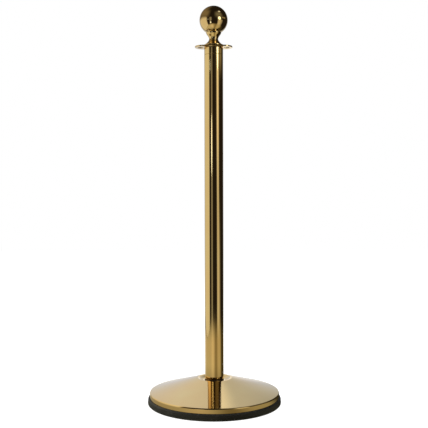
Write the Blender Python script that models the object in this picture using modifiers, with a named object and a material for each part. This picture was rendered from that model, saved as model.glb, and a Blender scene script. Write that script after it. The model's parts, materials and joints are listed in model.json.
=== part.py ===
"""Rope barrier stanchion: a polished brass post on a weighted, spun dome base.

Metres, +Z up. The origin is on the post's axis, at the floor. A ball finial
screws down onto a plate with two rope eyes, and a tie rod inside the post
clamps post, dome cover and cast weight together.
"""

import math

import bmesh
import bpy

MM = 0.001
GAP = 0.3 * MM

# Post
POST_RADIUS = 25.4 * MM
POST_WALL = 1.2 * MM
POST_BOTTOM = 65.8 * MM
POST_TOP = 936.3 * MM

# Head collar, which plugs the top of the post
COLLAR_TOP = 954.8 * MM
COLLAR_SPIGOT_LENGTH = 28.0 * MM
COLLAR_EDGE = 0.6 * MM
SEAM_CHAMFER = 0.4 * MM

# Plate with the rope eyes, between two slip washers
SLIP_WASHER_THICKNESS = 0.6 * MM
SLIP_WASHER_INNER = 9.5 * MM
SLIP_WASHER_OUTER = 21.0 * MM
PLATE_THICKNESS = 3.8 * MM
PLATE_DISC_RADIUS = 26.0 * MM
EYE_OFFSET = 26.4 * MM
EYE_RADIUS = 24.0 * MM
EYE_HOLE_OFFSET = 35.5 * MM
EYE_HOLE_RADIUS = 7.0 * MM
EYE_FILLET = 40.0 * MM
PLATE_EDGE_ROUND = 0.9 * MM

# Heights of the stack on top of the collar
LOWER_WASHER_BOTTOM = COLLAR_TOP + GAP
PLATE_BOTTOM = LOWER_WASHER_BOTTOM + SLIP_WASHER_THICKNESS + GAP
PLATE_TOP = PLATE_BOTTOM + PLATE_THICKNESS
UPPER_WASHER_BOTTOM = PLATE_TOP + GAP
NECK_BOTTOM = UPPER_WASHER_BOTTOM + SLIP_WASHER_THICKNESS + GAP

# Finial
STUD_RADIUS = 4.0 * MM
STUD_BOTTOM = 932.4 * MM
STUD_TOP = 1011.4 * MM
STUD_CHAMFER = 0.8 * MM
NECK_FLANGE_RADIUS = 26.0 * MM
NECK_FLANGE_THICKNESS = 2.6 * MM
NECK_FLANGE_ROUND = 0.8 * MM
NECK_FLARE_RADIUS = 25.0 * MM
NECK_WAIST_RADIUS = 12.3 * MM
NECK_WAIST_HEIGHT = 978.9 * MM
CUP_RADIUS = 20.5 * MM
CUP_HEIGHT = 996.4 * MM
CUP_LIP = 0.7 * MM
CUP_FLOOR = 991.6 * MM
BALL_RADIUS = 38.1 * MM
BALL_CENTRE = 1029.4 * MM
BALL_WALL = 1.2 * MM
BALL_OPENING = 14.2 * MM
BOSS_TOP = 1007.4 * MM
BOSS_RADIUS = 10.0 * MM
BOSS_FLANGE_TOP = 1001.4 * MM
BOSS_FLANGE_BOTTOM = 998.4 * MM
BOSS_FLANGE_RADIUS = 17.0 * MM

# Nuts
STUD_NUT_FLATS = 13.0 * MM
STUD_NUT_HEIGHT = 6.2 * MM
TIE_NUT_FLATS = 17.0 * MM
TIE_NUT_HEIGHT = 8.0 * MM

# Base
COVER_RADIUS = 174.3 * MM
COVER_RIM_RADIUS = 173.2 * MM
COVER_RIM_HEIGHT = 31.6 * MM
COVER_RIM_SLOPE = 0.285
COVER_FLARE = 0.06  # the cone's slope steepens by twice this for each metre inwards
COVER_WALL = 1.5 * MM
COVER_HEM = 3.6 * MM
CROWN_RADIUS = 45.0 * MM
CROWN_ROUND = 14.0 * MM
SEAT_RADIUS = 27.5 * MM
SEAT_HEIGHT = 62.0 * MM
RING_RADIUS = 179.4 * MM
RING_HEIGHT = 18.0 * MM
RING_LIP_RADIUS = 156.0 * MM
RING_LIP_THICKNESS = 3.0 * MM
WEIGHT_RADIUS = 171.0 * MM
WEIGHT_THICKNESS = 14.0 * MM
WEIGHT_BOSS_FOOT = 62.0 * MM
WEIGHT_BOSS_TOP = 26.0 * MM
NUT_POCKET_RADIUS = 19.0 * MM
NUT_POCKET_TOP = 24.0 * MM
PLATE_SCREW_CIRCLE = 120.0 * MM
PLATE_SCREW_COUNT = 4
PLATE_SCREW_RADIUS = 2.0 * MM
PLATE_SCREW_TOP = 12.0 * MM

# Tie rod and foot
ROD_RADIUS = 5.0 * MM
ROD_BOTTOM = 7.0 * MM
ROD_TOP = 921.3 * MM
ROD_CHAMFER = 1.0 * MM
SPIGOT_TOP = 88.5 * MM
SEAL_THICKNESS = 3.2 * MM
SEAL_INNER = 20.0 * MM

# Steps in a full turn
FINE = 48
MEDIUM = 32
COARSE = 20
SCREW_STEPS = 12

MATERIALS = {
    "polished_brass": ((0.72, 0.50, 0.22, 1.0), 0.12, 1.0),
    "black_rubber": ((0.018, 0.018, 0.017, 1.0), 0.65, 0.0),
    "cast_iron": ((0.07, 0.07, 0.075, 1.0), 0.7, 0.6),
    "zinc_steel": ((0.55, 0.56, 0.58, 1.0), 0.35, 1.0),
    "nylon": ((0.75, 0.73, 0.66, 1.0), 0.5, 0.0),
}


def clear_scene():
    for obj in list(bpy.data.objects):
        bpy.data.objects.remove(obj, do_unlink=True)


def new_collection(name):
    collection = bpy.data.collections.new(name)
    bpy.context.scene.collection.children.link(collection)
    return collection


def material(name, slot):
    """One material for each sub-part, with the colour of the stuff that it is made of."""
    colour, roughness, metallic = MATERIALS[slot]
    made = bpy.data.materials.new(name + "_" + slot)
    made.use_nodes = True
    shader = made.node_tree.nodes["Principled BSDF"]
    shader.inputs["Base Color"].default_value = colour
    shader.inputs["Roughness"].default_value = roughness
    shader.inputs["Metallic"].default_value = metallic
    return made


def arc(centre_r, centre_z, radius, start, end, count):
    """Points (r, z) of a round stretch, in degrees from the outward direction towards +Z."""
    points = []
    for i in range(count + 1):
        angle = math.radians(start + (end - start) * i / count)
        points.append((centre_r + radius * math.cos(angle), centre_z + radius * math.sin(angle)))
    return points


def ease(share):
    """0 to 1 with a level start and a level end."""
    return (1.0 - math.cos(math.pi * share)) / 2.0


def turned(name, profile, steps, slot, closed=True):
    """A shape turned round Z from points (r, z), which run down its outer side.

    The object's origin is on the axis at the height of the first point.
    """
    base = profile[0][1]
    mesh = bpy.data.meshes.new(name)
    edges = [(i, i + 1) for i in range(len(profile) - 1)]
    if closed:
        edges.append((len(profile) - 1, 0))
    mesh.from_pydata([(r, 0.0, z - base) for r, z in profile], edges, [])
    obj = bpy.data.objects.new(name, mesh)
    obj.location.z = base
    parts.objects.link(obj)
    screw = obj.modifiers.new("turn", "SCREW")
    screw.axis = "Z"
    screw.steps = steps
    screw.render_steps = steps
    screw.use_merge_vertices = True
    screw.merge_threshold = 0.00001
    screw.use_smooth_shade = True
    mesh.materials.append(material(name, slot))
    return obj


def ring(name, inner, outer, bottom, top, steps, slot):
    """A flat ring with square edges."""
    profile = [(outer, top), (outer, bottom), (inner, bottom), (inner, top)]
    return turned(name, profile, steps, slot)


def cylinder_cutter(name, radius, bottom, top, x=0.0, y=0.0):
    bpy.ops.mesh.primitive_cylinder_add(
        vertices=COARSE, radius=radius, depth=top - bottom, location=(x, y, (top + bottom) / 2)
    )
    return as_cutter(bpy.context.object, name)


def box_cutter(name, size, location):
    bpy.ops.mesh.primitive_cube_add(size=1.0, location=location)
    cutter = bpy.context.object
    cutter.scale = size
    bpy.ops.object.transform_apply(location=False, rotation=False, scale=True)
    return as_cutter(cutter, name)


def as_cutter(obj, name):
    obj.name = name
    obj.hide_render = True
    obj.display_type = "WIRE"
    for collection in list(obj.users_collection):
        collection.objects.unlink(obj)
    cutters.objects.link(obj)
    return obj


def cut(obj, cutter):
    boolean = obj.modifiers.new("cut_" + cutter.name, "BOOLEAN")
    boolean.operation = "DIFFERENCE"
    boolean.object = cutter


def applied(obj):
    """The object with its modifiers made real, so that copies can share the mesh."""
    bpy.context.view_layer.update()
    evaluated = obj.evaluated_get(bpy.context.evaluated_depsgraph_get())
    mesh = bpy.data.meshes.new_from_object(evaluated)
    obj.modifiers.clear()
    obj.data = mesh
    return obj


def hex_nut(name, flats, bore, bottom, height):
    """A hexagon nut, with its bore cut by a cylinder."""
    bpy.ops.mesh.primitive_cylinder_add(
        vertices=6, radius=flats / math.sqrt(3.0), depth=height, location=(0, 0, bottom + height / 2)
    )
    nut = bpy.context.object
    nut.name = name
    for collection in list(nut.users_collection):
        collection.objects.unlink(nut)
    parts.objects.link(nut)
    nut.data.materials.append(material(name, "zinc_steel"))
    cut(nut, cylinder_cutter(name + "_bore", bore, bottom - MM, bottom + height + MM))


def make_post():
    inner = POST_RADIUS - POST_WALL
    profile = [
        (POST_RADIUS - SEAM_CHAMFER, POST_TOP),
        (POST_RADIUS, POST_TOP - SEAM_CHAMFER),
        (POST_RADIUS, POST_BOTTOM + SEAM_CHAMFER),
        (POST_RADIUS - SEAM_CHAMFER, POST_BOTTOM),
        (inner, POST_BOTTOM),
        (inner, POST_TOP),
    ]
    turned("post_tube", profile, FINE, "polished_brass")


def make_head_collar():
    """A cap of the post's own diameter, whose spigot plugs the tube and takes both threads."""
    spigot = POST_RADIUS - POST_WALL - GAP
    shoulder = POST_TOP + GAP
    spigot_bottom = POST_TOP - COLLAR_SPIGOT_LENGTH
    rod_bore = ROD_RADIUS + GAP
    stud_bore = STUD_RADIUS + GAP
    step = ROD_TOP + 2 * MM
    profile = [
        (POST_RADIUS - COLLAR_EDGE, COLLAR_TOP),
        (POST_RADIUS, COLLAR_TOP - COLLAR_EDGE),
        (POST_RADIUS, shoulder + SEAM_CHAMFER),
        (POST_RADIUS - SEAM_CHAMFER, shoulder),
        (spigot, shoulder),
        (spigot, spigot_bottom),
        (rod_bore, spigot_bottom),
        (rod_bore, step),
        (stud_bore, step),
        (stud_bore, COLLAR_TOP),
    ]
    turned("head_collar", profile, FINE, "polished_brass")


def eye_outline():
    """The plate's outline: a disc and two round eyes, with a fillet in each of the four corners."""
    reach = PLATE_DISC_RADIUS + EYE_FILLET
    grip = EYE_RADIUS + EYE_FILLET
    fillet_x = (reach**2 - grip**2 + EYE_OFFSET**2) / (2 * EYE_OFFSET)
    fillet_y = math.sqrt(reach**2 - fillet_x**2)
    disc_angle = math.degrees(math.atan2(fillet_y, fillet_x))
    eye_angle = math.degrees(math.atan2(fillet_y, fillet_x - EYE_OFFSET))
    half = arc(EYE_OFFSET, 0, EYE_RADIUS, -eye_angle, eye_angle, 16)
    half += arc(fillet_x, fillet_y, EYE_FILLET, eye_angle - 180, disc_angle - 180, 3)[1:]
    half += arc(0, 0, PLATE_DISC_RADIUS, disc_angle, 180 - disc_angle, 8)[1:]
    half += arc(-fillet_x, fillet_y, EYE_FILLET, -disc_angle, -eye_angle, 3)[1:-1]
    return half + [(-x, -y) for x, y in half]


def flat_spline(curve, points):
    spline = curve.splines.new("POLY")
    spline.points.add(len(points) - 1)
    for point, (x, y) in zip(spline.points, points):
        point.co = (x, y, 0, 1)
    spline.use_cyclic_u = True


def make_ring_plate():
    """The plate that the rope hooks hang in, which swivels about the finial's stud."""
    curve = bpy.data.curves.new("ring_plate", "CURVE")
    curve.dimensions = "2D"
    curve.fill_mode = "BOTH"
    curve.extrude = PLATE_THICKNESS / 2
    flat_spline(curve, eye_outline())
    for side in (-1, 1):
        flat_spline(curve, arc(side * EYE_HOLE_OFFSET, 0, EYE_HOLE_RADIUS, 360, 18, 19))
    flat_spline(curve, arc(0, 0, STUD_RADIUS + 1.2 * GAP, 360, 22.5, 15))
    flat = bpy.data.objects.new("ring_plate_outline", curve)
    parts.objects.link(flat)
    bpy.context.view_layer.update()
    graph = bpy.context.evaluated_depsgraph_get()
    mesh = bpy.data.meshes.new_from_object(flat.evaluated_get(graph))
    bpy.data.objects.remove(flat, do_unlink=True)
    shape = bmesh.new()
    shape.from_mesh(mesh)
    bmesh.ops.remove_doubles(shape, verts=shape.verts, dist=0.00001)
    bmesh.ops.recalc_face_normals(shape, faces=shape.faces)
    shape.to_mesh(mesh)
    shape.free()
    plate = bpy.data.objects.new("ring_plate", mesh)
    plate.location.z = (PLATE_BOTTOM + PLATE_TOP) / 2
    parts.objects.link(plate)
    mesh.materials.clear()
    mesh.materials.append(material("ring_plate", "polished_brass"))
    bevel = plate.modifiers.new("round_edges", "BEVEL")
    bevel.width = PLATE_EDGE_ROUND
    bevel.segments = 2
    bevel.limit_method = "ANGLE"
    bevel.angle_limit = math.radians(60)
    mesh.shade_smooth()
    mesh.set_sharp_from_angle(angle=math.radians(35))


def make_slip_washers():
    """Thin nylon washers, so that the plate turns without marking the brass."""
    for name, bottom in (
        ("slip_washer_lower", LOWER_WASHER_BOTTOM),
        ("slip_washer_upper", UPPER_WASHER_BOTTOM),
    ):
        top = bottom + SLIP_WASHER_THICKNESS
        ring(name, SLIP_WASHER_INNER, SLIP_WASHER_OUTER, bottom, top, MEDIUM, "nylon")


def make_neck():
    """The turned neck: a cup under the ball, a waist, and a flare down to a flange."""
    flange_top = NECK_BOTTOM + NECK_FLANGE_THICKNESS
    seat_radius = BALL_RADIUS + GAP
    lip = CUP_RADIUS - CUP_LIP
    lip_height = BALL_CENTRE - math.sqrt(seat_radius**2 - lip**2)
    profile = [(lip, lip_height), (CUP_RADIUS, CUP_HEIGHT)]
    for i in range(1, 9):
        share = 1.0 - i / 8
        height = NECK_WAIST_HEIGHT + (CUP_HEIGHT - NECK_WAIST_HEIGHT) * share
        flare = (CUP_RADIUS - NECK_WAIST_RADIUS) * ease(share**1.1)
        profile.append((NECK_WAIST_RADIUS + flare, height))
    for i in range(1, 9):
        share = i / 8
        height = NECK_WAIST_HEIGHT + (flange_top - NECK_WAIST_HEIGHT) * share
        flare = (NECK_FLARE_RADIUS - NECK_WAIST_RADIUS) * share**1.7
        profile.append((NECK_WAIST_RADIUS + flare, height))
    rounding = NECK_FLANGE_ROUND
    edge = NECK_FLANGE_RADIUS - rounding
    profile += arc(edge, flange_top - rounding, rounding, 60, 0, 2)
    profile += arc(edge, NECK_BOTTOM + rounding, rounding, 0, -90, 3)
    nut_pocket = STUD_NUT_FLATS / math.sqrt(3.0) + 2 * GAP
    pocket_top = NECK_BOTTOM + STUD_NUT_HEIGHT + 3 * GAP
    bore = STUD_RADIUS + GAP
    socket = BALL_OPENING + GAP
    profile += [
        (nut_pocket, NECK_BOTTOM),
        (nut_pocket, pocket_top),
        (bore, pocket_top),
        (bore, CUP_FLOOR),
        (socket, CUP_FLOOR),
    ]
    seat_start = -math.degrees(math.acos(socket / seat_radius))
    seat_end = -math.degrees(math.acos(lip / seat_radius))
    profile += arc(0, BALL_CENTRE, seat_radius, seat_start, seat_end, 3)[:-1]
    turned("finial_neck", profile, MEDIUM, "polished_brass")


def make_ball():
    """A hollow ball, open underneath where its threaded boss is soldered in."""
    inner = BALL_RADIUS - BALL_WALL
    outer_end = -math.degrees(math.acos(BALL_OPENING / BALL_RADIUS))
    inner_end = -math.degrees(math.acos(BALL_OPENING / inner))
    profile = arc(0, BALL_CENTRE, BALL_RADIUS, 90, outer_end, 16)
    profile += arc(0, BALL_CENTRE, inner, inner_end, 90, 6)
    turned("finial_ball", profile, MEDIUM, "polished_brass", closed=False)


def make_ball_boss():
    """The threaded boss in the ball, whose flange is soldered inside the shell."""
    stem = BALL_OPENING - GAP
    bottom = CUP_FLOOR + GAP
    bore = STUD_RADIUS + GAP
    profile = [
        (BOSS_RADIUS, BOSS_TOP),
        (BOSS_RADIUS, BOSS_FLANGE_TOP),
        (BOSS_FLANGE_RADIUS, BOSS_FLANGE_TOP),
        (BOSS_FLANGE_RADIUS, BOSS_FLANGE_BOTTOM),
        (stem, BOSS_FLANGE_BOTTOM),
        (stem, bottom),
        (bore, bottom),
        (bore, BOSS_TOP),
    ]
    turned("ball_boss", profile, COARSE, "zinc_steel")


def rod(name, radius, bottom, top, chamfer):
    """A plain steel rod with chamfered ends."""
    profile = [
        (0, top),
        (radius - chamfer, top),
        (radius, top - chamfer),
        (radius, bottom + chamfer),
        (radius - chamfer, bottom),
        (0, bottom),
    ]
    turned(name, profile, COARSE, "zinc_steel", closed=False)


def make_foot():
    """The spigot that centres the post, and the black seal between post and dome."""
    seat = SEAT_HEIGHT + GAP
    bore = ROD_RADIUS + GAP
    spigot = POST_RADIUS - POST_WALL - GAP
    profile = [
        (spigot - MM, SPIGOT_TOP),
        (spigot, SPIGOT_TOP - MM),
        (spigot, POST_BOTTOM),
        (SEAL_INNER - GAP, POST_BOTTOM),
        (SEAL_INNER - GAP, seat),
        (bore, seat),
        (bore, SPIGOT_TOP),
    ]
    turned("foot_spigot", profile, MEDIUM, "zinc_steel")
    outer = POST_RADIUS + 0.2 * MM
    top = seat + SEAL_THICKNESS
    edge = 0.5 * MM
    profile = [
        (outer - edge, top),
        (outer, top - edge),
        (outer, seat + edge),
        (outer - edge, seat),
        (SEAL_INNER, seat),
        (SEAL_INNER, top),
    ]
    turned("foot_seal", profile, FINE, "black_rubber")


def cover_height(radius):
    """The dome's upper surface from its rim inwards to the crown."""
    inward = COVER_RIM_RADIUS - radius
    return COVER_RIM_HEIGHT + COVER_RIM_SLOPE * inward + COVER_FLARE * inward**2


def cover_surface(drop, detail):
    """The dome from its seat out to the rim, lowered by drop for the underside."""
    lean = math.atan(COVER_RIM_SLOPE + 2 * COVER_FLARE * (COVER_RIM_RADIUS - CROWN_RADIUS))
    shoulder = CROWN_RADIUS + CROWN_ROUND * math.sin(lean)
    crown = cover_height(shoulder) + CROWN_ROUND * (1 - math.cos(lean))
    points = []
    for i in range(2 * detail):
        share = i / (2 * detail)
        radius = SEAT_RADIUS + (CROWN_RADIUS - SEAT_RADIUS) * share
        points.append((radius, SEAT_HEIGHT + (crown - SEAT_HEIGHT) * ease(share)))
    points += arc(CROWN_RADIUS, crown - CROWN_ROUND, CROWN_ROUND, 90, 90 - math.degrees(lean), detail)
    for i in range(1, detail + 2):
        radius = shoulder + (COVER_RIM_RADIUS - MM - shoulder) * i / (detail + 1)
        points.append((radius, cover_height(radius)))
    return [(r, z - drop) for r, z in points]


def make_cover():
    """The spun dome: a dished seat, a low crown, a hollow cone, a crisp rim and a side band."""
    bore = ROD_RADIUS + MM
    inner = COVER_RADIUS - COVER_WALL
    drop = COVER_WALL * 1.05
    profile = [(bore, SEAT_HEIGHT)] + cover_surface(0.0, 3)
    profile += [
        (COVER_RIM_RADIUS, COVER_RIM_HEIGHT - 0.2 * MM),
        (COVER_RIM_RADIUS + 0.6 * MM, COVER_RIM_HEIGHT - 1.0 * MM),
        (COVER_RADIUS - 0.3 * MM, COVER_RIM_HEIGHT - 3.0 * MM),
        (COVER_RADIUS, COVER_RIM_HEIGHT - 8.0 * MM),
        (COVER_RADIUS, COVER_HEM),
        (inner, COVER_HEM),
        (inner, COVER_RIM_HEIGHT - 8.0 * MM),
    ]
    underside = cover_surface(drop, 1)
    underside[-1] = (COVER_RIM_RADIUS - 1.6 * MM, COVER_RIM_HEIGHT - 1.8 * MM)
    profile += underside[::-1] + [(bore, SEAT_HEIGHT - drop)]
    turned("base_cover", profile, FINE, "polished_brass")


def make_weight():
    """The cast disc that keeps the post upright, with a boss under the dome's seat."""
    bottom = RING_LIP_THICKNESS + GAP
    top = bottom + WEIGHT_THICKNESS
    boss_top = SEAT_HEIGHT - COVER_WALL * 1.05 - GAP
    profile = [
        (WEIGHT_BOSS_TOP, boss_top),
        (WEIGHT_BOSS_TOP + 8.0 * MM, boss_top - 8.0 * MM),
        (WEIGHT_BOSS_FOOT, top),
        (WEIGHT_RADIUS - 3.0 * MM, top),
        (WEIGHT_RADIUS, top - 3.0 * MM),
        (WEIGHT_RADIUS, bottom),
        (NUT_POCKET_RADIUS, bottom),
        (NUT_POCKET_RADIUS, NUT_POCKET_TOP),
        (ROD_RADIUS + GAP, NUT_POCKET_TOP),
        (ROD_RADIUS + GAP, boss_top),
    ]
    weight = turned("base_weight", profile, MEDIUM, "cast_iron")
    for number, x, y in screw_places():
        name = f"weight_hole_{number}"
        cut(weight, cylinder_cutter(name, PLATE_SCREW_RADIUS + GAP, MM, PLATE_SCREW_TOP + MM, x, y))


def screw_places():
    places = []
    for i in range(PLATE_SCREW_COUNT):
        angle = 2 * math.pi * (i + 0.5) / PLATE_SCREW_COUNT
        x = PLATE_SCREW_CIRCLE * math.cos(angle)
        y = PLATE_SCREW_CIRCLE * math.sin(angle)
        places.append((i + 1, x, y))
    return places


def make_base_plate():
    """The thin steel disc that closes the underside, and its screws."""
    top = RING_LIP_THICKNESS
    bottom = top - 1.2 * MM
    outer = RING_LIP_RADIUS - GAP
    profile = [(0, top), (outer, top), (outer, bottom), (0, bottom)]
    plate = turned("base_plate", profile, FINE, "zinc_steel", closed=False)
    head = 4.0 * MM
    head_top = bottom - GAP
    head_bottom = 0.4 * MM
    shank = [
        (0, PLATE_SCREW_TOP),
        (PLATE_SCREW_RADIUS, PLATE_SCREW_TOP),
        (PLATE_SCREW_RADIUS, head_top),
        (head, head_top),
        (head, head_bottom + 0.2 * MM),
        (head - 0.4 * MM, head_bottom),
        (0, head_bottom),
    ]
    screw = turned("plate_screw_1", shank, SCREW_STEPS, "zinc_steel", closed=False)
    cut(screw, box_cutter("screw_slot", (1.2 * MM, 12.0 * MM, MM), (0, 0, head_bottom)))
    applied(screw)
    for number, x, y in screw_places():
        if number > 1:
            screw = bpy.data.objects.new(f"plate_screw_{number}", screw.data)
            parts.objects.link(screw)
        screw.location = (x, y, PLATE_SCREW_TOP)
        name = f"plate_hole_{number}"
        cut(plate, cylinder_cutter(name, PLATE_SCREW_RADIUS + GAP, 0.0, 2 * top, x, y))


def make_tie_hardware():
    """Washer, spring washer and nut on the rod's lower end, in the weight's pocket."""
    bore = ROD_RADIUS + GAP
    washer_top = NUT_POCKET_TOP - GAP
    washer_bottom = washer_top - 2.0 * MM
    spring_top = washer_bottom - GAP
    spring_bottom = spring_top - 2.5 * MM
    ring("tie_washer", bore, 15.0 * MM, washer_bottom, washer_top, COARSE, "zinc_steel")
    spring = ring("tie_spring_washer", bore, 9.0 * MM, spring_bottom, spring_top, COARSE, "zinc_steel")
    slot = box_cutter("spring_washer_slot", (5.0 * MM, 1.2 * MM, 6.0 * MM), (7.2 * MM, 0, spring_top))
    slot.rotation_euler.x = math.radians(25)
    cut(spring, slot)
    nut_bottom = spring_bottom - GAP - TIE_NUT_HEIGHT
    hex_nut("tie_nut", TIE_NUT_FLATS, bore, nut_bottom, TIE_NUT_HEIGHT)


def make_edge_ring():
    """The black rubber edge: its lip carries the weight, and its wall covers the dome's hem."""
    wall = COVER_RADIUS + GAP
    profile = [
        (wall, RING_HEIGHT),
        (wall + 1.8 * MM, RING_HEIGHT - 0.2 * MM),
        (RING_RADIUS - 1.4 * MM, RING_HEIGHT - 1.8 * MM),
        (RING_RADIUS - 0.4 * MM, RING_HEIGHT - 4.8 * MM),
        (RING_RADIUS, RING_HEIGHT - 9.0 * MM),
        (RING_RADIUS, 3.0 * MM),
        (RING_RADIUS - 0.9 * MM, 0.9 * MM),
        (RING_RADIUS - 3.0 * MM, 0.0),
        (RING_LIP_RADIUS, 0.0),
        (RING_LIP_RADIUS, RING_LIP_THICKNESS),
        (wall, RING_LIP_THICKNESS),
    ]
    turned("edge_ring", profile, FINE, "black_rubber")


clear_scene()
parts = new_collection("rope_barrier_stanchion")
cutters = new_collection("cutters")

make_post()
make_head_collar()
make_ring_plate()
make_slip_washers()
make_neck()
make_ball()
make_ball_boss()
rod("finial_stud", STUD_RADIUS, STUD_BOTTOM, STUD_TOP, STUD_CHAMFER)
hex_nut("stud_lock_nut", STUD_NUT_FLATS, STUD_RADIUS + GAP, NECK_BOTTOM + 2 * GAP, STUD_NUT_HEIGHT)
rod("tie_rod", ROD_RADIUS, ROD_BOTTOM, ROD_TOP, ROD_CHAMFER)
make_foot()
make_cover()
make_weight()
make_base_plate()
make_tie_hardware()
make_edge_ring()
bpy.context.view_layer.update()
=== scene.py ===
"""Rope barrier stanchion: polished brass with a black rubber edge, in a pale studio.

Metres, +Z up. The post stands on the origin and the camera looks along +Y.
Every visible piece is a fine mesh that stands for its CAD node, with sizes and
places read from that node's box.
"""

import json
import math

import bmesh
import bpy
from mathutils import Matrix, Vector


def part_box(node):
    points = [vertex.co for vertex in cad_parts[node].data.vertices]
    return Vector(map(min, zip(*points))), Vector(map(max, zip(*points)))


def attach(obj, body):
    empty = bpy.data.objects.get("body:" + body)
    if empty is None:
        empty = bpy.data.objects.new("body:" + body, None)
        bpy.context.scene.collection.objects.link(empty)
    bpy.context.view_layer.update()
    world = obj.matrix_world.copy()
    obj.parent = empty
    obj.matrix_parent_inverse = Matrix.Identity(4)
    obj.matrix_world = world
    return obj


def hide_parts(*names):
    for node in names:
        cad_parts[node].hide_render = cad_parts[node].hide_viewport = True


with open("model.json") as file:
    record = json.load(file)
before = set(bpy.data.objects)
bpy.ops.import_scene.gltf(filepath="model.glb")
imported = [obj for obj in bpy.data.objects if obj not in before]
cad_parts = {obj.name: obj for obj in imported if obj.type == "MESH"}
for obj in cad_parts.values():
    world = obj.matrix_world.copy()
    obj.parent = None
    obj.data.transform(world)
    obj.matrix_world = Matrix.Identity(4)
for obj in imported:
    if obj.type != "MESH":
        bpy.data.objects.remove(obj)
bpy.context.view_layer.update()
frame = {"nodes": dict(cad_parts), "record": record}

MM = 0.001
TURN_STEPS = 160
BASE_STEPS = 256
GAP = 0.3 * MM
FACE_WEIGHT = 60

# Ball, hollow and open underneath
BALL_OPENING = 14.2 * MM
BALL_WALL = 1.2 * MM

# Neck, with heights from the underside of its flange
NECK_FLANGE_THICKNESS = 2.6 * MM
NECK_FLANGE_ROUND = 0.8 * MM
NECK_FLARE_RADIUS = 25.0 * MM
NECK_WAIST_RADIUS = 12.3 * MM
NECK_WAIST_HEIGHT = 17.9 * MM
CUP_RADIUS = 20.5 * MM
CUP_HEIGHT = 35.4 * MM
CUP_LIP = 0.7 * MM
CUP_FLOOR_HEIGHT = 30.6 * MM
NUT_POCKET_RADIUS = 8.1 * MM
NUT_POCKET_DEPTH = 7.1 * MM
NECK_BORE_RADIUS = 4.3 * MM

# Plate with the rope eyes, and the stud through it
PLATE_DISC_RADIUS = 26.0 * MM
PLATE_EDGE_ROUND = 1.1 * MM
EYE_RADIUS = 24.0 * MM
EYE_FILLET = 40.0 * MM
EYE_HOLE_RADIUS = 7.0 * MM
EYE_HOLE_OUTSET = 9.1 * MM
STUD_HOLE_RADIUS = 4.4 * MM
STUD_CHAMFER = 0.9 * MM
THREAD_PITCH = 1.25 * MM
THREAD_DEPTH = 0.7 * MM
WASHER_BORE_RADIUS = 9.5 * MM

# Post, collar and seal
POST_WALL = 1.2 * MM
POST_EDGE = 0.4 * MM
COLLAR_BORE_RADIUS = 5.3 * MM
COLLAR_BORE_DEPTH = 15.0 * MM
COLLAR_THREAD_RADIUS = 4.3 * MM
SEAL_BORE_RADIUS = 20.0 * MM
SEAL_EDGE = 0.7 * MM

# Dome cover: its crown dips to the seat of the post, and its side band leans out below the rim
COVER_WALL = 1.5 * MM
COVER_LINING = 1.05 * COVER_WALL
COVER_BORE_RADIUS = 6.0 * MM
COVER_RIM_INSET = 1.1 * MM
COVER_RIM_DROP = 36.9 * MM
COVER_SLOPE = 0.285
COVER_FLARE = 0.06
CROWN_RADIUS = 45.0 * MM
CROWN_ROUND = 14.0 * MM
SEAT_RADIUS = 27.5 * MM
BAND_ROUND = 7.5 * MM
BAND_LEAN = 32

# Rubber edge ring
RING_LIP_RADIUS = 156.0 * MM
RING_LIP_THICKNESS = 3.0 * MM
RING_PARTING_DROP = 10.5 * MM
RING_FOOT_ROUND = 2.6 * MM

# Camera, in front of the post and level with its middle
CAMERA_DISTANCE = 2.014
CAMERA_HEIGHT = 0.55
CAMERA_LENS = 62.89
CAMERA_PITCH = math.radians(1.135)
CAMERA_ROLL = math.radians(0.13)

# Studio walls, which stop the floor's glow a little inside them
X, Y, Z = range(3)
WALL_DISTANCE = 1.0
WALL_OVERLAP = 0.03
LEFT_WALL_TOP = 1.65
BACKDROP_TOP = 1.75

# Floor: its glow is whole within FLOOR_LIT of the post and gone at FLOOR_CLEAR, and a painted shade
# dims it to FLOOR_SHADE of its strength at the base, rising back to whole at FLOOR_SHADE_REACH
FLOOR_REACH = 6.0
FLOOR_DROP = 0.5 * MM
FLOOR_LIT = 0.85
FLOOR_CLEAR = 1.6
FLOOR_SHADE = 0.6
FLOOR_SHADE_REACH = 0.5


# --- Shapes -------------------------------------------------------------------------------------


def ease(share):
    """0 to 1 with a level start and a level end."""
    return (1.0 - math.cos(math.pi * share)) / 2.0


def arc(centre_r, centre_z, radius, start, end, count):
    """Points (r, z) of a round stretch, in degrees from the outward direction towards +Z."""
    points = []
    for i in range(count + 1):
        angle = math.radians(start + (end - start) * i / count)
        points.append((centre_r + radius * math.cos(angle), centre_z + radius * math.sin(angle)))
    return points


def rounded(corners, segments=4):
    """A profile from (r, z, rounding) corners, with an arc in place of each rounded corner."""
    points = []
    for i, (r, z, rounding) in enumerate(corners):
        here = Vector((r, z))
        if rounding == 0:
            points.append((r, z))
            continue
        before = Vector(corners[i - 1][:2]) - here
        after = Vector(corners[(i + 1) % len(corners)][:2]) - here
        half = before.angle(after) / 2
        reach = min(rounding / math.tan(half), 0.45 * before.length, 0.45 * after.length)
        radius = reach * math.tan(half)
        middle = here + (before.normalized() + after.normalized()).normalized() * (radius / math.sin(half))
        start = here + before.normalized() * reach - middle
        end = here + after.normalized() * reach - middle
        for step in range(segments + 1):
            points.append(tuple(middle + start.slerp(end, step / segments) * radius))
    return points


def new_object(name, mesh):
    obj = bpy.data.objects.new(name, mesh)
    bpy.context.scene.collection.objects.link(obj)
    return obj


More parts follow.
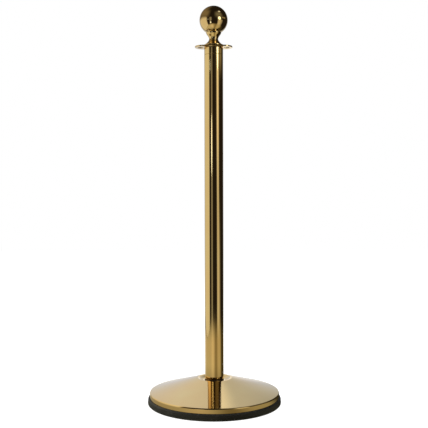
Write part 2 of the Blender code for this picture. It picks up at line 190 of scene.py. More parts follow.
def turned_mesh(name, profile, steps=TURN_STEPS, closed=True, sharp=40.0):
    """A mesh turned round Z from profile points (r, z) that run down its outer side."""
    shape = bmesh.new()
    rows = []
    for r, z in profile:
        if r < 1e-6:
            rows.append([shape.verts.new((0, 0, z))])
            continue
        row = []
        for step in range(steps):
            angle = 2 * math.pi * step / steps
            row.append(shape.verts.new((r * math.cos(angle), r * math.sin(angle), z)))
        rows.append(row)
    pairs = list(zip(rows, rows[1:]))
    if closed:
        pairs.append((rows[-1], rows[0]))
    for upper, lower in pairs:
        for i in range(steps):
            j = (i + 1) % steps
            above = [upper[i % len(upper)], upper[j % len(upper)]]
            below = [lower[i % len(lower)], lower[j % len(lower)]]
            corners = [above[0], below[0], below[1], above[1]]
            shape.faces.new(list(dict.fromkeys(corners)))
    mesh = bpy.data.meshes.new(name)
    shape.to_mesh(mesh)
    shape.free()
    mesh.shade_smooth()
    mesh.set_sharp_from_angle(angle=math.radians(sharp))
    return mesh


def place(obj, node, body, finish):
    """Puts a finished piece in place of a CAD node, on that node's body."""
    obj.data.materials.append(finish)
    # Large faces keep their own direction beside small rounded edges.
    weighted = obj.modifiers.new("large_faces_lead", "WEIGHTED_NORMAL")
    weighted.keep_sharp = True
    weighted.weight = FACE_WEIGHT
    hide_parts(node)
    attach(obj, body)


def turn(name, profile, node, body, slot, finish, **options):
    """A turned piece in place of a CAD node."""
    place(new_object(name, turned_mesh(name, profile, **options)), node, body, finish)


def outer_radius(node):
    """Half of a node's width along X."""
    low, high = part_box(node)
    return (high.x - low.x) / 2


# --- Node trees ---------------------------------------------------------------------------------


class Tree:
    """Short calls that add nodes to a tree. A value is a number, a colour or a node's output."""

    # The mix node's colour sockets, by place, because its sockets share their names
    MIX_FIRST = 6
    MIX_SECOND = 7
    MIX_RESULT = 2

    def __init__(self, tree):
        self.tree = tree

    def node(self, kind, operation=None):
        node = self.tree.nodes.new("ShaderNode" + kind)
        if operation:
            node.operation = operation
        return node

    def feed(self, value, socket):
        if isinstance(value, bpy.types.NodeSocket):
            self.tree.links.new(value, socket)
        elif socket.type == "RGBA":
            socket.default_value = (*value, 1)
        else:
            socket.default_value = value

    def math(self, operation, *values):
        node = self.node("Math", operation)
        for value, socket in zip(values, node.inputs):
            self.feed(value, socket)
        return node.outputs[0]

    def vector_math(self, operation, *vectors):
        node = self.node("VectorMath", operation)
        for vector, socket in zip(vectors, node.inputs):
            self.feed(vector, socket)
        return node.outputs["Value" if operation == "LENGTH" else "Vector"]

    def scaled(self, vector, scale):
        node = self.node("VectorMath", "SCALE")
        self.feed(vector, node.inputs[0])
        self.feed(scale, node.inputs["Scale"])
        return node.outputs[0]

    def parts(self, vector):
        node = self.node("SeparateXYZ")
        self.feed(vector, node.inputs[0])
        return node.outputs

    def vector(self, *values):
        node = self.node("CombineXYZ")
        for value, socket in zip(values, node.inputs):
            self.feed(value, socket)
        return node.outputs[0]

    def ranged(self, value, low, high, to_low=0.0, to_high=1.0, smooth=False):
        """The value's stretch from low to high, spread over to_low to to_high."""
        node = self.node("MapRange")
        if smooth:
            node.interpolation_type = "SMOOTHSTEP"
        numbers = (value, low, high, to_low, to_high)
        for name, number in zip(("Value", "From Min", "From Max", "To Min", "To Max"), numbers):
            self.feed(number, node.inputs[name])
        return node.outputs["Result"]

    def step(self, value, start, end):
        """A soft step, 0 at start and 1 at end, where either may be the higher."""
        if start > end:
            return self.ranged(value, end, start, 1.0, 0.0, smooth=True)
        return self.ranged(value, start, end, smooth=True)

    def azimuth(self, x, y):
        """The direction round Z in radians, 0 on the camera's side and positive to its right."""
        return self.math("ARCTAN2", x, self.math("MULTIPLY", y, -1.0))

    def shader(self, kind, **inputs):
        node = self.node(kind)
        for name, value in inputs.items():
            self.feed(value, node.inputs[name])
        return node.outputs[0]

    def joined(self, kind, *inputs):
        """Two shaders added, or two mixed by a share that comes first."""
        node = self.node(kind)
        for value, socket in zip(inputs, node.inputs):
            self.feed(value, socket)
        return node.outputs[0]

    def seen_or_reflected(self, seen, reflected, output):
        """The camera sees one shader, and everything else the other."""
        camera_ray = self.node("LightPath").outputs["Is Camera Ray"]
        mix = self.joined("MixShader", camera_ray, reflected, seen)
        self.feed(mix, self.node(output).inputs["Surface"])


# --- Materials ----------------------------------------------------------------------------------


class Finish(Tree):
    """A procedural material on a Principled shader."""

    def __init__(self, name, colour, roughness, metallic):
        self.material = bpy.data.materials.new(name)
        self.material.use_nodes = True
        super().__init__(self.material.node_tree)
        self.surface = self.tree.nodes["Principled BSDF"]
        self.feed(colour, self.surface.inputs["Base Color"])
        self.feed(roughness, self.surface.inputs["Roughness"])
        self.feed(metallic, self.surface.inputs["Metallic"])
        self.place = self.node("TexCoord").outputs["Object"]

    def polar(self, around, outwards, upwards):
        """Coordinates that follow turning lines: angle, distance from the axis, and height."""
        x, y, z = self.parts(self.place)
        flat = self.vector(x, y)
        direction = self.scaled(self.vector_math("NORMALIZE", flat), around)
        outward = self.math("MULTIPLY", self.vector_math("LENGTH", flat), outwards)
        rise = self.math("ADD", outward, self.math("MULTIPLY", z, upwards))
        return self.vector_math("ADD", direction, self.vector(0.0, 0.0, rise))

    def noise(self, vector, scale, detail=3.0, distortion=0.0):
        node = self.node("TexNoise")
        numbers = (vector, scale, detail, distortion)
        for name, number in zip(("Vector", "Scale", "Detail", "Distortion"), numbers):
            self.feed(number, node.inputs[name])
        return node.outputs["Fac"]

    def mixed(self, share, first, second):
        """A colour between two, each a colour or another node's output."""
        node = self.node("Mix")
        node.data_type = "RGBA"
        self.feed(share, node.inputs["Factor"])
        self.feed(first, node.inputs[self.MIX_FIRST])
        self.feed(second, node.inputs[self.MIX_SECOND])
        return node.outputs[self.MIX_RESULT]

    def bump(self, height, strength, distance, after=None):
        node = self.node("Bump")
        for name, value in (("Height", height), ("Strength", strength), ("Distance", distance)):
            self.feed(value, node.inputs[name])
        if after is not None:
            self.feed(after, node.inputs["Normal"])
        return node.outputs[0]

    def finished(self, colour, roughness, normal):
        self.feed(colour, self.surface.inputs["Base Color"])
        self.feed(roughness, self.surface.inputs["Roughness"])
        self.feed(normal, self.surface.inputs["Normal"])
        return self.material


BRASS = (0.80, 0.57, 0.26)
BRASS_ROSY = (0.79, 0.545, 0.245)
BRASS_GREEN = (0.79, 0.585, 0.27)
BRASS_AGED = (0.55, 0.34, 0.13)


def polished_brass(name, around, outwards, upwards, smudge=14.0):
    """Lacquered brass: fine polishing lines round the axis, soft smudges, and a few aged specks."""
    n = Finish(name, BRASS, 0.06, 1.0)
    lines = n.noise(n.polar(around, outwards, upwards), 1.0, detail=4.0)
    tint = n.noise(n.place, 9.0, detail=2.0)
    smudges = n.noise(n.place, smudge, detail=5.0, distortion=0.6)
    specks = n.noise(n.place, 900.0, detail=1.0)
    patches = n.noise(n.place, 30.0, detail=2.0)
    colour = n.mixed(n.ranged(tint, 0.35, 0.65), BRASS_ROSY, BRASS_GREEN)
    aged = n.math("MULTIPLY", n.ranged(specks, 0.70, 0.76, 0.0, 0.6), n.ranged(patches, 0.52, 0.62))
    colour = n.mixed(aged, colour, BRASS_AGED)
    rough = n.ranged(smudges, 0.35, 0.75, 0.035, 0.10)
    rough = n.math("ADD", rough, n.math("MULTIPLY", aged, 0.25))
    rough = n.math("ADD", rough, n.ranged(lines, 0.3, 0.7, 0.0, 0.03))
    normal = n.bump(lines, 0.03, 0.00002)
    normal = n.bump(smudges, 0.025, 0.0003, after=normal)
    return n.finished(colour, rough, normal)


def black_rubber(name):
    """Moulded rubber: fine grain, rubbed streaks round the ring, and a little pale dust."""
    n = Finish(name, (0.02, 0.02, 0.019), 0.6, 0.0)
    grain = n.noise(n.place, 1400.0, detail=2.0)
    streaks = n.noise(n.polar(3.0, 500.0, 500.0), 1.0, detail=3.0)
    dust = n.noise(n.place, 60.0, detail=6.0, distortion=0.4)
    scuffed = n.ranged(streaks, 0.55, 0.75, 0.0, 0.35)
    colour = n.mixed(scuffed, (0.017, 0.017, 0.016), (0.05, 0.049, 0.045))
    colour = n.mixed(n.ranged(dust, 0.55, 0.8, 0.0, 0.35), colour, (0.10, 0.095, 0.085))
    rough = n.ranged(streaks, 0.3, 0.7, 0.5, 0.68)
    normal = n.bump(grain, 0.25, 0.0002)
    return n.finished(colour, rough, normal)


def zinc_steel(name):
    """Zinc plate: a mottled, faintly yellow grey with drawn lines."""
    n = Finish(name, (0.6, 0.61, 0.62), 0.32, 1.0)
    mottle = n.noise(n.place, 160.0, detail=4.0)
    lines = n.noise(n.polar(4.0, 1500.0, 1500.0), 1.0, detail=2.0)
    colour = n.mixed(n.ranged(mottle, 0.35, 0.65), (0.52, 0.53, 0.54), (0.68, 0.67, 0.62))
    rough = n.ranged(lines, 0.3, 0.7, 0.25, 0.42)
    return n.finished(colour, rough, n.bump(lines, 0.15, 0.00005))


def cast_iron(name):
    """Sand-cast iron under a thin coat of dark paint."""
    n = Finish(name, (0.05, 0.05, 0.052), 0.7, 0.3)
    sand = n.noise(n.place, 420.0, detail=5.0)
    rust = n.noise(n.place, 35.0, detail=5.0)
    colour = n.mixed(n.ranged(rust, 0.55, 0.75, 0.0, 0.8), (0.045, 0.046, 0.05), (0.16, 0.07, 0.035))
    rough = n.ranged(sand, 0.3, 0.7, 0.55, 0.85)
    return n.finished(colour, rough, n.bump(sand, 0.5, 0.0006))


def nylon(name):
    """Natural nylon: milky, slightly mottled, with a soft turned grain."""
    n = Finish(name, (0.76, 0.74, 0.67), 0.45, 0.0)
    cloud = n.noise(n.place, 120.0, detail=3.0)
    grain = n.noise(n.polar(4.0, 3000.0, 3000.0), 1.0, detail=2.0)
    colour = n.mixed(n.ranged(cloud, 0.35, 0.65), (0.72, 0.70, 0.62), (0.80, 0.78, 0.72))
    rough = n.ranged(grain, 0.3, 0.7, 0.38, 0.55)
    return n.finished(colour, rough, n.bump(grain, 0.2, 0.00005))


# --- Pieces -------------------------------------------------------------------------------------


def make_ball(finish):
    """The hollow ball, open underneath inside the neck's cup."""
    radius = outer_radius("finial_ball")
    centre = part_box("finial_ball")[1].z - radius
    inner = radius - BALL_WALL
    outer_end = -math.degrees(math.acos(BALL_OPENING / radius))
    inner_end = -math.degrees(math.acos(BALL_OPENING / inner))
    profile = arc(0, centre, radius, 90, outer_end, 72)
    profile += arc(0, centre, inner, inner_end, 90, 24)
    turn("ball", profile, "finial_ball", "finial", "polished_brass", finish, closed=False)


def make_neck(finish):
    """Cup, waist, flare and flange, in one smooth turned sweep with a crisp lip."""
    ball_radius = outer_radius("finial_ball")
    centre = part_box("finial_ball")[1].z - ball_radius
    seat = ball_radius + GAP
    flange = outer_radius("finial_neck")
    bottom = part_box("finial_neck")[0].z
    top = bottom + NECK_FLANGE_THICKNESS
    waist = bottom + NECK_WAIST_HEIGHT
    cup = bottom + CUP_HEIGHT
    lip = CUP_RADIUS - CUP_LIP
    lip_height = centre - math.sqrt(seat**2 - lip**2)
    profile = [
        (lip, lip_height),
        (lip + 0.25 * MM, lip_height + 0.02 * MM),
        (CUP_RADIUS - 0.08 * MM, cup + 0.3 * MM),
    ]
    steps = 28
    for i in range(steps + 1):
        share = 1.0 - i / steps
        radius = NECK_WAIST_RADIUS + (CUP_RADIUS - NECK_WAIST_RADIUS) * ease(share**1.1)
        profile.append((radius, waist + (cup - waist) * share))
    for i in range(1, steps + 1):
        share = i / steps
        radius = NECK_WAIST_RADIUS + (NECK_FLARE_RADIUS - NECK_WAIST_RADIUS) * share**1.7
        profile.append((radius, waist + (top - waist) * share))
    edge = flange - NECK_FLANGE_ROUND
    profile += arc(edge, top - NECK_FLANGE_ROUND, NECK_FLANGE_ROUND, 75, 0, 6)
    profile += arc(edge, bottom + NECK_FLANGE_ROUND, NECK_FLANGE_ROUND, 0, -90, 6)
    socket = BALL_OPENING + GAP
    pocket_top = bottom + NUT_POCKET_DEPTH
    floor = bottom + CUP_FLOOR_HEIGHT
    profile += [(NUT_POCKET_RADIUS, bottom), (NUT_POCKET_RADIUS, pocket_top)]
    profile += [(NECK_BORE_RADIUS, pocket_top), (NECK_BORE_RADIUS, floor), (socket, floor)]
    start = -math.degrees(math.acos(socket / seat))
    end = -math.degrees(math.acos(lip / seat))
    profile += arc(0, centre, seat, start, end, 6)[:-1]
    turn("neck", profile, "finial_neck", "finial", "polished_brass", finish, sharp=30.0)


def eye_outline(disc, eye, offset, fillet, detail):
    """Points (x, y) round a disc and two round eyes, with a fillet in each of the four corners."""
    reach = disc + fillet
    grip = eye + fillet
    fillet_x = (reach**2 - grip**2 + offset**2) / (2 * offset)
    fillet_y = math.sqrt(reach**2 - fillet_x**2)
    disc_angle = math.degrees(math.atan2(fillet_y, fillet_x))
    eye_angle = math.degrees(math.atan2(fillet_y, fillet_x - offset))
    half = arc(offset, 0, eye, -eye_angle, eye_angle, 6 * detail)
    half += arc(fillet_x, fillet_y, fillet, eye_angle - 180, disc_angle - 180, detail)[1:]
    half += arc(0, 0, disc, disc_angle, 180 - disc_angle, 4 * detail)[1:]
    half += arc(-fillet_x, fillet_y, fillet, -disc_angle, -eye_angle, detail)[1:-1]
    return half + [(-x, -y) for x, y in half]


def flat_spline(curve, points):
    """Adds a closed outline to a flat curve."""
    spline = curve.splines.new("POLY")
    spline.points.add(len(points) - 1)
    for point, (x, y) in zip(spline.points, points):
        point.co = (x, y, 0, 1)
    spline.use_cyclic_u = True


def make_ring_plate(finish):
    """The rope plate, with a full round on every edge and in both eyes."""
    low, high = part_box("ring_plate")
    offset = high.x - EYE_RADIUS
    inset = PLATE_EDGE_ROUND
    curve = bpy.data.curves.new("rope_plate", "CURVE")
    curve.dimensions = "2D"
    curve.fill_mode = "BOTH"
    curve.extrude = (high.z - low.z) / 2 - inset
    curve.bevel_depth = inset
    curve.bevel_resolution = 4
    disc = PLATE_DISC_RADIUS - inset
    flat_spline(curve, eye_outline(disc, EYE_RADIUS - inset, offset, EYE_FILLET + inset, 9))
    for side in (-1, 1):
        centre = side * (offset + EYE_HOLE_OUTSET)
        flat_spline(curve, arc(centre, 0, EYE_HOLE_RADIUS + inset, 360, 8, 44))
    flat_spline(curve, arc(0, 0, STUD_HOLE_RADIUS + inset, 360, 12, 29))
    flat = new_object("rope_plate_outline", curve)
    bpy.context.view_layer.update()
    mesh = bpy.data.meshes.new_from_object(flat.evaluated_get(bpy.context.evaluated_depsgraph_get()))
    bpy.data.objects.remove(flat, do_unlink=True)
    shape = bmesh.new()
    shape.from_mesh(mesh)
    bmesh.ops.remove_doubles(shape, verts=shape.verts, dist=0.00001)
    bmesh.ops.recalc_face_normals(shape, faces=shape.faces)
    shape.to_mesh(mesh)
    shape.free()
    mesh.transform(Matrix.Translation((0, 0, (low.z + high.z) / 2)))
    mesh.shade_smooth()
    mesh.set_sharp_from_angle(angle=math.radians(40))
    mesh.materials.clear()
    place(new_object("rope_plate", mesh), "ring_plate", "rope_plate", finish)


def make_collar(finish):
    """The collar with its turned spigot, which drops into the tube."""
    low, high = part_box("head_collar")
    radius = outer_radius("head_collar")
    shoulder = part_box("post_tube")[1].z + GAP
    spigot = radius - POST_WALL - GAP
    bore_top = low.z + COLLAR_BORE_DEPTH
    corners = [
        (radius, high.z, 0.7 * MM),
        (radius, shoulder, POST_EDGE),
        (spigot, shoulder, 0),
        (spigot, low.z, 0.8 * MM),
        (COLLAR_BORE_RADIUS, low.z, 0.4 * MM),
        (COLLAR_BORE_RADIUS, bore_top, 0),
        (COLLAR_THREAD_RADIUS, bore_top, 0),
        (COLLAR_THREAD_RADIUS, high.z, 0.4 * MM),
    ]
    turn("collar", rounded(corners), "head_collar", "base", "polished_brass", finish)


def make_post(finish):
    """The straight tube, cut square with its edges just broken."""
    low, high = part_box("post_tube")
    radius = outer_radius("post_tube")
    inner = radius - POST_WALL
    corners = [
        (radius, high.z, POST_EDGE),
        (radius, low.z, POST_EDGE),
        (inner, low.z, 0.2 * MM),
        (inner, high.z, 0.2 * MM),
    ]
    turn("post", rounded(corners), "post_tube", "base", "polished_brass", finish)


def make_seal(finish):
    """The soft seal between the post and the dome, round on its outer edges."""
    low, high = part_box("foot_seal")
    outer = outer_radius("foot_seal")
    corners = [
        (outer, high.z, SEAL_EDGE),
        (outer, low.z, SEAL_EDGE),
        (SEAL_BORE_RADIUS, low.z, 0),
        (SEAL_BORE_RADIUS, high.z, 0),
    ]
    turn("seal", rounded(corners), "foot_seal", "base", "black_rubber", finish)


def cover_height(radius, rim_radius, rim_height):
    """The dome's upper surface from its rim inwards to the crown."""
    inward = rim_radius - radius
    return rim_height + COVER_SLOPE * inward + COVER_FLARE * inward**2


def cover_surface(rim_radius, rim_height, seat_height, drop, detail):
    """The dome from its seat out to the rim, lowered by drop for the underside."""
    lean = math.atan(COVER_SLOPE + 2 * COVER_FLARE * (rim_radius - CROWN_RADIUS))
    shoulder = CROWN_RADIUS + CROWN_ROUND * math.sin(lean)
    crown = cover_height(shoulder, rim_radius, rim_height) + CROWN_ROUND * (1 - math.cos(lean))
    points = []
    for i in range(2 * detail):
        share = i / (2 * detail)
        radius = SEAT_RADIUS + (CROWN_RADIUS - SEAT_RADIUS) * share
        points.append((radius, seat_height + (crown - seat_height) * ease(share)))
    points += arc(CROWN_RADIUS, crown - CROWN_ROUND, CROWN_ROUND, 90, 90 - math.degrees(lean), detail)
    end = rim_radius - MM
    for i in range(1, detail + 2):
        radius = shoulder + (end - shoulder) * i / (detail + 1)
        points.append((radius, cover_height(radius, rim_radius, rim_height)))
    return [(r, z - drop) for r, z in points]


def make_cover(finish):
    """The spun dome, with a crisp rim, a side band that leans out below it, and a cut hem."""
    low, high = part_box("base_cover")
    outer = outer_radius("base_cover")
    inner = outer - COVER_WALL
    rim = outer - COVER_RIM_INSET
    rim_height = high.z - COVER_RIM_DROP
    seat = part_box("foot_seal")[0].z - GAP
    band_centre = rim_height - 0.1 * MM - BAND_ROUND * math.sin(math.radians(BAND_LEAN))
    band = arc(outer - BAND_ROUND, band_centre, BAND_ROUND, BAND_LEAN, 0, 10)
    hem = [
        (*band[-1], 0),
        (outer, low.z, 0.5 * MM),
        (inner, low.z, 0.5 * MM),
        (inner - 0.2 * MM, rim_height - 6.0 * MM, 4.0 * MM),
        (rim - 1.6 * MM, rim_height - 1.8 * MM, 0),
    ]
    profile = [(COVER_BORE_RADIUS, seat)]
    profile += cover_surface(rim, rim_height, seat, 0.0, 16)
    profile.append((rim - 0.1 * MM, rim_height + 0.02 * MM))
    profile += band[:-1]
    profile += rounded(hem, 6)
    profile += cover_surface(rim, rim_height, seat, COVER_LINING, 6)[-2::-1]
    profile.append((COVER_BORE_RADIUS, seat - COVER_LINING))
    turn("dome_cover", profile, "base_cover", "base", "polished_brass", finish, steps=BASE_STEPS)


def make_edge_ring(finish):
    """The rubber ring: a soft top edge, a fine parting line and a narrow foot."""
    low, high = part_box("edge_ring")
    outer = outer_radius("edge_ring")
    wall = outer_radius("base_cover") + GAP
    parting = high.z - RING_PARTING_DROP
    corners = [
        (wall, high.z, 0.3 * MM),
        (wall + 2.2 * MM, high.z - 0.1 * MM, 1.6 * MM),
        (outer - 0.6 * MM, high.z - 3.4 * MM, 4.0 * MM),
        (outer, parting, 0.15 * MM),
        (outer - 0.35 * MM, parting - 0.25 * MM, 0),
        (outer, parting - 0.5 * MM, 0.15 * MM),
        (outer, RING_FOOT_ROUND, 2.0 * MM),
        (outer - RING_FOOT_ROUND, low.z, 2.0 * MM),
        (RING_LIP_RADIUS, low.z, 0.4 * MM),
        (RING_LIP_RADIUS, RING_LIP_THICKNESS, 0.3 * MM),
        (wall, RING_LIP_THICKNESS, 0),
    ]
    turn("rubber_edge", rounded(corners), "edge_ring", "base", "black_rubber", finish, steps=BASE_STEPS)


def make_stud(finish):
    """The finial's stud, with a real helical thread between its chamfered ends."""
    low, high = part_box("finial_stud")
    radius = outer_radius("finial_stud")
    steps = 24
    rows_per_turn = 6
    count = int((high.z - low.z) / (THREAD_PITCH / rows_per_turn))
    shape = bmesh.new()
    rows = []
    for level in range(count + 1):
        height = high.z - (high.z - low.z) * level / count
        row = []
        end = min(height - low.z, high.z - height)
        for step in range(steps):
            share = step / steps
            phase = ((height - low.z) / THREAD_PITCH - share) % 1.0
            ridge = abs(2 * phase - 1)
            cut_back = THREAD_DEPTH * (1 - min(1.0, ridge * 1.25))
            r = min(radius - cut_back, radius - STUD_CHAMFER + end)
            angle = 2 * math.pi * share
            row.append(shape.verts.new((r * math.cos(angle), r * math.sin(angle), height)))
        rows.append(row)
    for upper, lower in zip(rows, rows[1:]):
        for i in range(steps):
            j = (i + 1) % steps
            shape.faces.new((upper[i], lower[i], lower[j], upper[j]))
    shape.faces.new(rows[0])
    shape.faces.new(rows[-1][::-1])
    mesh = bpy.data.meshes.new("threaded_stud")
    shape.to_mesh(mesh)
    shape.free()
    mesh.shade_smooth()
    mesh.set_sharp_from_angle(angle=math.radians(50))
    place(new_object("threaded_stud", mesh), "finial_stud", "stud", finish)


def make_washers(finish):
    """The two slip washers, one under the rope plate and one on it."""
    for node, name, body in (
        ("slip_washer_lower", "lower_washer", "base"),
        ("slip_washer_upper", "upper_washer", "rope_plate"),
    ):
        low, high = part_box(node)
        outer = outer_radius(node)
        corners = [
            (outer, high.z, 0.2 * MM),
            (outer, low.z, 0.2 * MM),
            (WASHER_BORE_RADIUS, low.z, 0.1 * MM),
            (WASHER_BORE_RADIUS, high.z, 0.1 * MM),
        ]
        turn(name, rounded(corners, 3), node, body, "nylon", finish, steps=96)


def finish_hidden_nodes():
    """Inner pieces and the underside keep their CAD shape and get their own finish."""
    by_slot = {"zinc_steel": zinc_steel("zinc_plate"), "cast_iron": cast_iron("painted_iron")}
    slots = {row["node"]: row["material_slot"] for row in frame["record"]["subparts"]}
    for name, obj in frame["nodes"].items():
        if obj.hide_render:
            continue
        obj.data.materials.clear()
        obj.data.materials.append(by_slot[slots[name]])


# --- Studio -------------------------------------------------------------------------------------


class StageMaterial(Tree):
    """An empty material for the floor or a wall, with the coordinates of its face."""

    def __init__(self, name):
        self.material = bpy.data.materials.new(name)
        self.material.use_nodes = True
        super().__init__(self.material.node_tree)
        self.tree.nodes.clear()
        self.place = self.node("TexCoord").outputs["Object"]

    def faded(self, level, fades):
        """A level that falls softly to 0 along axes, each fade given as axis, clear and whole."""
        parts = self.parts(self.place)
        for axis, clear, whole in fades:
            level = self.math("MULTIPLY", level, self.step(parts[axis], clear, whole))
        return level


class Sky(Tree):
    """The studio as light by direction: a dim room with lamps and pale surfaces in it."""

    def __init__(self, room):
        world = bpy.data.worlds.new("studio")
        bpy.context.scene.world = world
        world.use_nodes = True
        super().__init__(world.node_tree)
        self.tree.nodes.clear()
        x, y, z = self.parts(self.node("TexCoord").outputs["Generated"])
        self.across = self.degrees(self.azimuth(x, y))
        self.elevation = self.degrees(self.math("ARCSINE", z))
        self.light = room

    def degrees(self, value):
        return self.math("MULTIPLY", value, 180 / math.pi)

    def band(self, value, low, high, soft):
        """1 between low and high, with soft edges of that many degrees."""
        rise = self.step(value, low - soft / 2, low + soft / 2)
        fall = self.step(value, high + soft / 2, high - soft / 2)
        return self.math("MULTIPLY", rise, fall)

    def patch(self, azimuths, elevations, soft, colour):
        """Adds light of a colour in a patch of azimuths and elevations."""
        across = self.band(self.across, *azimuths, soft[0])
        up = self.band(self.elevation, *elevations, soft[1])
        light = self.scaled(colour, self.math("MULTIPLY", across, up))
        self.light = self.vector_math("ADD", self.light, light)


def make_camera():
    data = bpy.data.cameras.new("camera")
    data.lens = CAMERA_LENS
    data.sensor_width = 36.0
    camera = new_object("camera", data)
    camera.location = (0, -CAMERA_DISTANCE, CAMERA_HEIGHT)
    camera.rotation_euler = (math.pi / 2 - CAMERA_PITCH, CAMERA_ROLL, 0)
    bpy.context.scene.camera = camera


def make_sky():
    """A white backdrop to the camera, and the studio to the object."""
    sky = Sky(room=(0.018, 0.014, 0.011))
    # Soft glow of the room above the left wall, and round the lamp at the right
    sky.patch((-160, -48), (18, 62), (50, 34), (0.21, 0.18, 0.12))
    sky.patch((18, 74), (18, 52), (40, 34), (0.20, 0.20, 0.16))
    # Pale strip at the right front, wider towards the floor and brighter at its top
    sky.patch((37, 62), (-100, 14), (11, 8), (0.66, 0.63, 0.51))
    sky.patch((34, 56), (3, 14), (12, 8), (0.34, 0.34, 0.30))
    sky.patch((61, 77), (-100, -2), (12, 8), (0.38, 0.36, 0.29))
    sky.patch((72, 108), (10, 18), (14, 2), (0.24, 0.21, 0.13))
    # Thin stand of the lamp at the left front
    sky.patch((-33, -17), (-14, 13), (8, 8), (0.29, 0.29, 0.26))
    # Ceiling lamp at the right
    sky.patch((58, 84), (51, 59), (6, 4), (0.9, 1.0, 1.1))
    studio = sky.shader("Background", Color=sky.light)
    plain = sky.shader("Background", Color=(1.0, 1.0, 1.0))
    sky.seen_or_reflected(plain, studio, "OutputWorld")


def stage_face(name, corners, material):
    """One flat face of the stage."""
    mesh = bpy.data.meshes.new(name)
    mesh.from_pydata(corners, [], [(0, 1, 2, 3)])
    mesh.materials.append(material)
    face = new_object(name, mesh)
    return face


def studio_wall(name, ends, top, colour, strength, fades):
    """A pale wall that only the object sees, from the floor up between two ends (x, y)."""
    look = StageMaterial(name + "_light")
    glow = look.shader("Emission", Color=colour, Strength=look.faded(strength, fades))
    both = look.joined("AddShader", glow, look.shader("BsdfTransparent"))
    look.feed(both, look.node("OutputMaterial").inputs["Surface"])
    left, right = ends
    wall = stage_face(name, [(*left, 0), (*right, 0), (*right, top), (*left, top)], look.material)
    wall.visible_camera = False
    wall.visible_shadow = False


def make_walls():
    """A warm wall at the left, and a cool backdrop in three soft, overlapping sheets."""
    ends = ((-WALL_DISTANCE, -0.8), (-WALL_DISTANCE, 1.6))
    fades = [(Y, -0.78, -0.52), (Z, 1.5, 1.1), (Y, 1.6, 0.9)]
    studio_wall("left_wall", ends, LEFT_WALL_TOP, (1.0, 0.99, 0.86), 0.76, fades)
    cool = (0.80, 0.87, 1.0)
    warm = (1.0, 0.95, 0.84)
    sheets = (
        ("backdrop_left", -0.95, 0.03, cool, 0.86, [(X, -0.9, -0.4), (X, 0.03, -0.02)]),
        ("backdrop_right", -0.03, 0.95, cool, 0.72, [(X, 0.9, 0.3), (X, -0.03, 0.02)]),
        ("backdrop_middle", -0.2, 0.3, warm, 0.42, [(X, -0.04, 0.02), (X, 0.3, 0.05)]),
    )
    for i, (name, left, right, colour, strength, fades) in enumerate(sheets):
        y = WALL_DISTANCE + i * MM
        top_fade = (Z, 1.7, 1.35)
        ends = ((left, y), (right, y))
        studio_wall(name, ends, BACKDROP_TOP, colour, strength, [*fades, top_fade])


def floor_light_and_shade(look):
    """Painted light and shade on the reflected floor, which change with the azimuth in degrees."""
    back = (0.84, 0.86, 0.88)
    left = (0.60, 0.57, 0.41)
    front = (0.76, 0.70, 0.50)
    shade = (0.28, 0.24, 0.13)
    right = (0.55, 0.50, 0.32)
    painted_shadow = (0.06, 0.05, 0.02)
    # Painted light and shade: the stops at 20 degrees and from 100 to 135 degrees are painted shadow, the
    # others painted light.
    stops = ((-180, back), (-150, back), (-100, left), (-48, left), (-18, front), (20, shade))
    stops += ((50, right), (66, right), (100, painted_shadow), (135, painted_shadow), (160, back))
    x, y, z = look.parts(look.place)
    ramp = look.node("ValToRGB")
    look.feed(look.ranged(look.azimuth(x, y), -math.pi, math.pi), ramp.inputs[0])
    ramp.color_ramp.interpolation = "EASE"
    elements = ramp.color_ramp.elements
    for degrees, colour in stops[1:-1]:
        elements.new(degrees / 360 + 0.5).color = (*colour, 1)
    elements[0].color = (*stops[0][1], 1)
    last = elements[len(stops) - 1]
    last.position = stops[-1][0] / 360 + 0.5
    last.color = (*stops[-1][1], 1)
    return ramp.outputs["Color"]


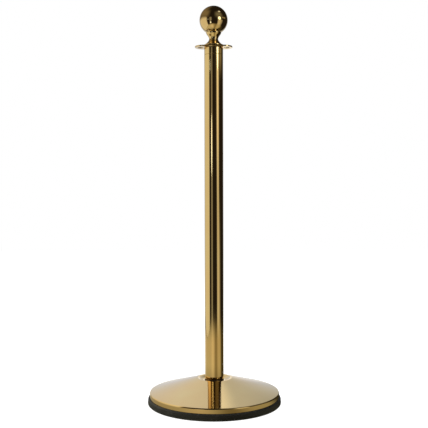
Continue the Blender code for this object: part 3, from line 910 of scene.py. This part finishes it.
def make_floor():
    """A plain white floor to the camera, and to the object a warm glowing one with painted light and
    shade.
    """
    look = StageMaterial("pale_floor")
    distance = look.vector_math("LENGTH", look.place)
    # Painted shade: the reflected floor's glow is dimmed near the base.
    strength = look.ranged(distance, outer_radius("edge_ring"), FLOOR_SHADE_REACH, FLOOR_SHADE)
    warm = look.shader("Emission", Color=floor_light_and_shade(look), Strength=strength)
    inside = WALL_DISTANCE - WALL_OVERLAP
    lit = look.step(distance, FLOOR_CLEAR, FLOOR_LIT)
    lit = look.faded(lit, [(X, -WALL_DISTANCE, -inside), (Y, WALL_DISTANCE, inside)])
    studio = look.joined("MixShader", lit, look.shader("BsdfTransparent"), warm)
    pale = look.shader("BsdfDiffuse", Color=(0.5, 0.5, 0.49))
    white = look.joined("AddShader", pale, look.shader("Emission", Strength=0.97))
    look.seen_or_reflected(white, studio, "OutputMaterial")
    sides = ((-1, -1), (1, -1), (1, 1), (-1, 1))
    corners = [(x * FLOOR_REACH, y * FLOOR_REACH, 0) for x, y in sides]
    stage_face("floor", corners, look.material).location.z = -FLOOR_DROP


def area_light(name, size, radiance, colour=(1, 1, 1)):
    """A soft round panel, with its power from the radiance of its face."""
    data = bpy.data.lights.new(name, "AREA")
    data.shape = "ELLIPSE"
    data.size, data.size_y = size
    data.energy = radiance * math.pi * (math.pi * size[0] * size[1] / 4)
    data.color = colour
    light = new_object(name, data)
    light.visible_camera = False
    return light


def lamp(name, azimuth, distance, height, size, radiance, colour):
    """A panel that faces the post level, from an azimuth in degrees, 90 at the camera's right."""
    light = area_light(name, size, radiance, colour)
    angle = math.radians(azimuth)
    away = Vector((distance * math.sin(angle), -distance * math.cos(angle), 0))
    light.location = away + Vector((0, 0, height))
    light.rotation_euler = away.to_track_quat("Z", "Y").to_euler()


def make_lights():
    """Two lamps for the long reflections, a small one for the ball, and soft light from above."""
    lamp("key", 47, 0.55, 1.10, (0.20, 0.23), 1.9, (0.86, 0.95, 1.0))
    lamp("small_lamp", -26, 0.58, 0.735, (0.10, 0.21), 1.9, (0.75, 0.88, 1.0))
    lamp("ball_lamp", -45, 0.60, 1.005, (0.055, 0.04), 1.6, (0.8, 0.9, 1.0))
    overhead = area_light("overhead", (3.0, 3.0), 3.4)
    overhead.location = (0, 0, 2.6)
    overhead.visible_glossy = False


# --- Build --------------------------------------------------------------------------------------

turned_brass = polished_brass("brass_turned", 5.0, 900.0, 900.0)
drawn_brass = polished_brass("brass_drawn", 4.0, 0.0, 700.0, smudge=9.0)
spun_brass = polished_brass("brass_spun", 3.0, 450.0, 450.0, smudge=10.0)
rubber = black_rubber("moulded_rubber")
white_nylon = nylon("natural_nylon")

make_ball(turned_brass)
make_neck(turned_brass)
make_ring_plate(turned_brass)
make_collar(drawn_brass)
make_post(drawn_brass)
make_seal(rubber)
make_cover(spun_brass)
make_edge_ring(rubber)
make_stud(zinc_steel("zinc_thread"))
make_washers(white_nylon)
finish_hidden_nodes()

make_camera()
make_sky()
make_walls()
make_floor()
make_lights()
bpy.context.scene.view_settings.view_transform = "Standard"
